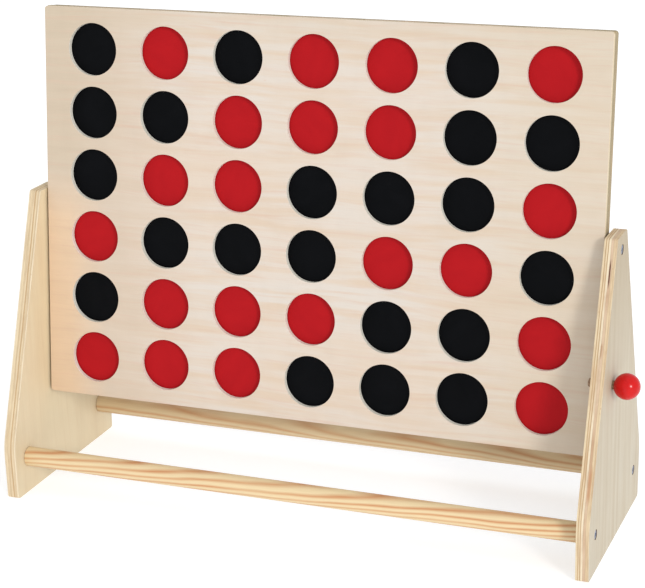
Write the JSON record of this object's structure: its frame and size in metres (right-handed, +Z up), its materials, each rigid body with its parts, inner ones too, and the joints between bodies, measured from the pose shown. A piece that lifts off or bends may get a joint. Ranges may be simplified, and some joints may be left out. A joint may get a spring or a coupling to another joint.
{
  "type": "giant four in a row",
  "caption": "Upright wooden board with round windows and open-topped columns for discs, hung on pivots between two plywood side supports so that it turns over to empty.",
  "frame": {"origin": "on the ground, at the bottom centre of the whole object's box; the board's middle is 12.5 mm to the left of it, because the ball knob stands out on the right", "axes": "+X to the right as the players see the front, along the pivot axis; +Y to the rear; +Z up"},
  "size_m": [0.605, 0.2016, 0.4665],
  "materials": {
    "panel_ply": "pale sanded plywood veneer, fine level grain",
    "spacer_ply": "sawn plywood edge",
    "support_ply": "pale sanded plywood, upright grain, layered edges",
    "dowel_pine": "turned pine, strong grain along its length",
    "pin_wood": "turned hardwood",
    "zinc_steel": "bluish zinc plate",
    "red_lacquer": "gloss red lacquer",
    "red_paint": "matt red paint",
    "black_paint": "matt black paint"
  },
  "bodies": {
    "stand": {"left_support": "support_ply", "right_support": "support_ply", "front_dowel": "dowel_pine", "rear_dowel": "dowel_pine", "front_left_dowel_screw": "zinc_steel", "front_right_dowel_screw": "zinc_steel", "rear_left_dowel_screw": "zinc_steel", "rear_right_dowel_screw": "zinc_steel"},
    "board": {"front_panel": "panel_ply", "back_panel": "panel_ply", "spacer_comb": "spacer_ply", "left_pivot_screw": "zinc_steel", "right_pivot_screw": "zinc_steel", "left_washer": "zinc_steel", "right_washer": "zinc_steel"},
    "ball_pin": {"lock_pin": "pin_wood", "ball_knob": "red_lacquer"},
    "disc_c1_r1": {"black_disc_c1_r1": "black_paint"},
    "disc_c1_r2": {"black_disc_c1_r2": "black_paint"},
    "disc_c1_r3": {"black_disc_c1_r3": "black_paint"},
    "disc_c1_r4": {"red_disc_c1_r4": "red_paint"},
    "disc_c1_r5": {"black_disc_c1_r5": "black_paint"},
    "disc_c1_r6": {"red_disc_c1_r6": "red_paint"},
    "disc_c2_r1": {"red_disc_c2_r1": "red_paint"},
    "disc_c2_r2": {"black_disc_c2_r2": "black_paint"},
    "disc_c2_r3": {"red_disc_c2_r3": "red_paint"},
    "disc_c2_r4": {"black_disc_c2_r4": "black_paint"},
    "disc_c2_r5": {"red_disc_c2_r5": "red_paint"},
    "disc_c2_r6": {"red_disc_c2_r6": "red_paint"},
    "disc_c3_r1": {"black_disc_c3_r1": "black_paint"},
    "disc_c3_r2": {"red_disc_c3_r2": "red_paint"},
    "disc_c3_r3": {"red_disc_c3_r3": "red_paint"},
    "disc_c3_r4": {"black_disc_c3_r4": "black_paint"},
    "disc_c3_r5": {"red_disc_c3_r5": "red_paint"},
    "disc_c3_r6": {"red_disc_c3_r6": "red_paint"},
    "disc_c4_r1": {"red_disc_c4_r1": "red_paint"},
    "disc_c4_r2": {"red_disc_c4_r2": "red_paint"},
    "disc_c4_r3": {"black_disc_c4_r3": "black_paint"},
    "disc_c4_r4": {"black_disc_c4_r4": "black_paint"},
    "disc_c4_r5": {"red_disc_c4_r5": "red_paint"},
    "disc_c4_r6": {"black_disc_c4_r6": "black_paint"},
    "disc_c5_r1": {"red_disc_c5_r1": "red_paint"},
    "disc_c5_r2": {"red_disc_c5_r2": "red_paint"},
    "disc_c5_r3": {"black_disc_c5_r3": "black_paint"},
    "disc_c5_r4": {"red_disc_c5_r4": "red_paint"},
    "disc_c5_r5": {"black_disc_c5_r5": "black_paint"},
    "disc_c5_r6": {"black_disc_c5_r6": "black_paint"},
    "disc_c6_r1": {"black_disc_c6_r1": "black_paint"},
    "disc_c6_r2": {"black_disc_c6_r2": "black_paint"},
    "disc_c6_r3": {"black_disc_c6_r3": "black_paint"},
    "disc_c6_r4": {"red_disc_c6_r4": "red_paint"},
    "disc_c6_r5": {"black_disc_c6_r5": "black_paint"},
    "disc_c6_r6": {"black_disc_c6_r6": "black_paint"},
    "disc_c7_r1": {"red_disc_c7_r1": "red_paint"},
    "disc_c7_r2": {"black_disc_c7_r2": "black_paint"},
    "disc_c7_r3": {"red_disc_c7_r3": "red_paint"},
    "disc_c7_r4": {"black_disc_c7_r4": "black_paint"},
    "disc_c7_r5": {"red_disc_c7_r5": "red_paint"},
    "disc_c7_r6": {"red_disc_c7_r6": "red_paint"}
  },
  "joints": [
    {"name": "ball_pin_pull", "type": "slide", "parent": "stand", "child": "ball_pin", "axis": [1, 0, 0], "range_m": [0, 0.02]},
    {"name": "board_flip", "type": "hinge", "parent": "stand", "child": "board", "pos_m": [-0.0125, 0, 0.2765], "axis": [1, 0, 0], "range_deg": [0, 167]},
    {"name": "column_1_slide", "type": "slide", "parent": "board", "child": "disc_c1_r1", "axis": [0, 0.0958, 0.9954], "range_m": [0, 0.056]},
    {"name": "disc_c1_r2_slide", "type": "slide", "parent": "board", "child": "disc_c1_r2", "axis": [0, 0.0958, 0.9954], "range_m": [0, 0.056]},
    {"name": "disc_c1_r3_slide", "type": "slide", "parent": "board", "child": "disc_c1_r3", "axis": [0, 0.0958, 0.9954], "range_m": [0, 0.056]},
    {"name": "disc_c1_r4_slide", "type": "slide", "parent": "board", "child": "disc_c1_r4", "axis": [0, 0.0958, 0.9954], "range_m": [0, 0.056]},
    {"name": "disc_c1_r5_slide", "type": "slide", "parent": "board", "child": "disc_c1_r5", "axis": [0, 0.0958, 0.9954], "range_m": [0, 0.056]},
    {"name": "disc_c1_r6_slide", "type": "slide", "parent": "board", "child": "disc_c1_r6", "axis": [0, 0.0958, 0.9954], "range_m": [0, 0.056]},
    {"name": "column_2_slide", "type": "slide", "parent": "board", "child": "disc_c2_r1", "axis": [0, 0.0958, 0.9954], "range_m": [0, 0.056]},
    {"name": "disc_c2_r2_slide", "type": "slide", "parent": "board", "child": "disc_c2_r2", "axis": [0, 0.0958, 0.9954], "range_m": [0, 0.056]},
    {"name": "disc_c2_r3_slide", "type": "slide", "parent": "board", "child": "disc_c2_r3", "axis": [0, 0.0958, 0.9954], "range_m": [0, 0.056]},
    {"name": "disc_c2_r4_slide", "type": "slide", "parent": "board", "child": "disc_c2_r4", "axis": [0, 0.0958, 0.9954], "range_m": [0, 0.056]},
    {"name": "disc_c2_r5_slide", "type": "slide", "parent": "board", "child": "disc_c2_r5", "axis": [0, 0.0958, 0.9954], "range_m": [0, 0.056]},
    {"name": "disc_c2_r6_slide", "type": "slide", "parent": "board", "child": "disc_c2_r6", "axis": [0, 0.0958, 0.9954], "range_m": [0, 0.056]},
    {"name": "column_3_slide", "type": "slide", "parent": "board", "child": "disc_c3_r1", "axis": [0, 0.0958, 0.9954], "range_m": [0, 0.056]},
    {"name": "disc_c3_r2_slide", "type": "slide", "parent": "board", "child": "disc_c3_r2", "axis": [0, 0.0958, 0.9954], "range_m": [0, 0.056]},
    {"name": "disc_c3_r3_slide", "type": "slide", "parent": "board", "child": "disc_c3_r3", "axis": [0, 0.0958, 0.9954], "range_m": [0, 0.056]},
    {"name": "disc_c3_r4_slide", "type": "slide", "parent": "board", "child": "disc_c3_r4", "axis": [0, 0.0958, 0.9954], "range_m": [0, 0.056]},
    {"name": "disc_c3_r5_slide", "type": "slide", "parent": "board", "child": "disc_c3_r5", "axis": [0, 0.0958, 0.9954], "range_m": [0, 0.056]},
    {"name": "disc_c3_r6_slide", "type": "slide", "parent": "board", "child": "disc_c3_r6", "axis": [0, 0.0958, 0.9954], "range_m": [0, 0.056]},
    {"name": "column_4_slide", "type": "slide", "parent": "board", "child": "disc_c4_r1", "axis": [0, 0.0958, 0.9954], "range_m": [0, 0.056]},
    {"name": "disc_c4_r2_slide", "type": "slide", "parent": "board", "child": "disc_c4_r2", "axis": [0, 0.0958, 0.9954], "range_m": [0, 0.056]},
    {"name": "disc_c4_r3_slide", "type": "slide", "parent": "board", "child": "disc_c4_r3", "axis": [0, 0.0958, 0.9954], "range_m": [0, 0.056]},
    {"name": "disc_c4_r4_slide", "type": "slide", "parent": "board", "child": "disc_c4_r4", "axis": [0, 0.0958, 0.9954], "range_m": [0, 0.056]},
    {"name": "disc_c4_r5_slide", "type": "slide", "parent": "board", "child": "disc_c4_r5", "axis": [0, 0.0958, 0.9954], "range_m": [0, 0.056]},
    {"name": "disc_c4_r6_slide", "type": "slide", "parent": "board", "child": "disc_c4_r6", "axis": [0, 0.0958, 0.9954], "range_m": [0, 0.056]},
    {"name": "column_5_slide", "type": "slide", "parent": "board", "child": "disc_c5_r1", "axis": [0, 0.0958, 0.9954], "range_m": [0, 0.056]},
    {"name": "disc_c5_r2_slide", "type": "slide", "parent": "board", "child": "disc_c5_r2", "axis": [0, 0.0958, 0.9954], "range_m": [0, 0.056]},
    {"name": "disc_c5_r3_slide", "type": "slide", "parent": "board", "child": "disc_c5_r3", "axis": [0, 0.0958, 0.9954], "range_m": [0, 0.056]},
    {"name": "disc_c5_r4_slide", "type": "slide", "parent": "board", "child": "disc_c5_r4", "axis": [0, 0.0958, 0.9954], "range_m": [0, 0.056]},
    {"name": "disc_c5_r5_slide", "type": "slide", "parent": "board", "child": "disc_c5_r5", "axis": [0, 0.0958, 0.9954], "range_m": [0, 0.056]},
    {"name": "disc_c5_r6_slide", "type": "slide", "parent": "board", "child": "disc_c5_r6", "axis": [0, 0.0958, 0.9954], "range_m": [0, 0.056]},
    {"name": "column_6_slide", "type": "slide", "parent": "board", "child": "disc_c6_r1", "axis": [0, 0.0958, 0.9954], "range_m": [0, 0.056]},
    {"name": "disc_c6_r2_slide", "type": "slide", "parent": "board", "child": "disc_c6_r2", "axis": [0, 0.0958, 0.9954], "range_m": [0, 0.056]},
    {"name": "disc_c6_r3_slide", "type": "slide", "parent": "board", "child": "disc_c6_r3", "axis": [0, 0.0958, 0.9954], "range_m": [0, 0.056]},
    {"name": "disc_c6_r4_slide", "type": "slide", "parent": "board", "child": "disc_c6_r4", "axis": [0, 0.0958, 0.9954], "range_m": [0, 0.056]},
    {"name": "disc_c6_r5_slide", "type": "slide", "parent": "board", "child": "disc_c6_r5", "axis": [0, 0.0958, 0.9954], "range_m": [0, 0.056]},
    {"name": "disc_c6_r6_slide", "type": "slide", "parent": "board", "child": "disc_c6_r6", "axis": [0, 0.0958, 0.9954], "range_m": [0, 0.056]},
    {"name": "column_7_slide", "type": "slide", "parent": "board", "child": "disc_c7_r1", "axis": [0, 0.0958, 0.9954], "range_m": [0, 0.056]},
    {"name": "disc_c7_r2_slide", "type": "slide", "parent": "board", "child": "disc_c7_r2", "axis": [0, 0.0958, 0.9954], "range_m": [0, 0.056]},
    {"name": "disc_c7_r3_slide", "type": "slide", "parent": "board", "child": "disc_c7_r3", "axis": [0, 0.0958, 0.9954], "range_m": [0, 0.056]},
    {"name": "disc_c7_r4_slide", "type": "slide", "parent": "board", "child": "disc_c7_r4", "axis": [0, 0.0958, 0.9954], "range_m": [0, 0.056]},
    {"name": "disc_c7_r5_slide", "type": "slide", "parent": "board", "child": "disc_c7_r5", "axis": [0, 0.0958, 0.9954], "range_m": [0, 0.056]},
    {"name": "disc_c7_r6_slide", "type": "slide", "parent": "board", "child": "disc_c7_r6", "axis": [0, 0.0958, 0.9954], "range_m": [0, 0.056]}
  ],
  "couplings": [
    {"joint": "disc_c1_r2_slide", "follows": "column_1_slide", "ratio": 1},
    {"joint": "disc_c1_r3_slide", "follows": "column_1_slide", "ratio": 1},
    {"joint": "disc_c1_r4_slide", "follows": "column_1_slide", "ratio": 1},
    {"joint": "disc_c1_r5_slide", "follows": "column_1_slide", "ratio": 1},
    {"joint": "disc_c1_r6_slide", "follows": "column_1_slide", "ratio": 1},
    {"joint": "disc_c2_r2_slide", "follows": "column_2_slide", "ratio": 1},
    {"joint": "disc_c2_r3_slide", "follows": "column_2_slide", "ratio": 1},
    {"joint": "disc_c2_r4_slide", "follows": "column_2_slide", "ratio": 1},
    {"joint": "disc_c2_r5_slide", "follows": "column_2_slide", "ratio": 1},
    {"joint": "disc_c2_r6_slide", "follows": "column_2_slide", "ratio": 1},
    {"joint": "disc_c3_r2_slide", "follows": "column_3_slide", "ratio": 1},
    {"joint": "disc_c3_r3_slide", "follows": "column_3_slide", "ratio": 1},
    {"joint": "disc_c3_r4_slide", "follows": "column_3_slide", "ratio": 1},
    {"joint": "disc_c3_r5_slide", "follows": "column_3_slide", "ratio": 1},
    {"joint": "disc_c3_r6_slide", "follows": "column_3_slide", "ratio": 1},
    {"joint": "disc_c4_r2_slide", "follows": "column_4_slide", "ratio": 1},
    {"joint": "disc_c4_r3_slide", "follows": "column_4_slide", "ratio": 1},
    {"joint": "disc_c4_r4_slide", "follows": "column_4_slide", "ratio": 1},
    {"joint": "disc_c4_r5_slide", "follows": "column_4_slide", "ratio": 1},
    {"joint": "disc_c4_r6_slide", "follows": "column_4_slide", "ratio": 1},
    {"joint": "disc_c5_r2_slide", "follows": "column_5_slide", "ratio": 1},
    {"joint": "disc_c5_r3_slide", "follows": "column_5_slide", "ratio": 1},
    {"joint": "disc_c5_r4_slide", "follows": "column_5_slide", "ratio": 1},
    {"joint": "disc_c5_r5_slide", "follows": "column_5_slide", "ratio": 1},
    {"joint": "disc_c5_r6_slide", "follows": "column_5_slide", "ratio": 1},
    {"joint": "disc_c6_r2_slide", "follows": "column_6_slide", "ratio": 1},
    {"joint": "disc_c6_r3_slide", "follows": "column_6_slide", "ratio": 1},
    {"joint": "disc_c6_r4_slide", "follows": "column_6_slide", "ratio": 1},
    {"joint": "disc_c6_r5_slide", "follows": "column_6_slide", "ratio": 1},
    {"joint": "disc_c6_r6_slide", "follows": "column_6_slide", "ratio": 1},
    {"joint": "disc_c7_r2_slide", "follows": "column_7_slide", "ratio": 1},
    {"joint": "disc_c7_r3_slide", "follows": "column_7_slide", "ratio": 1},
    {"joint": "disc_c7_r4_slide", "follows": "column_7_slide", "ratio": 1},
    {"joint": "disc_c7_r5_slide", "follows": "column_7_slide", "ratio": 1},
    {"joint": "disc_c7_r6_slide", "follows": "column_7_slide", "ratio": 1}
  ]
}
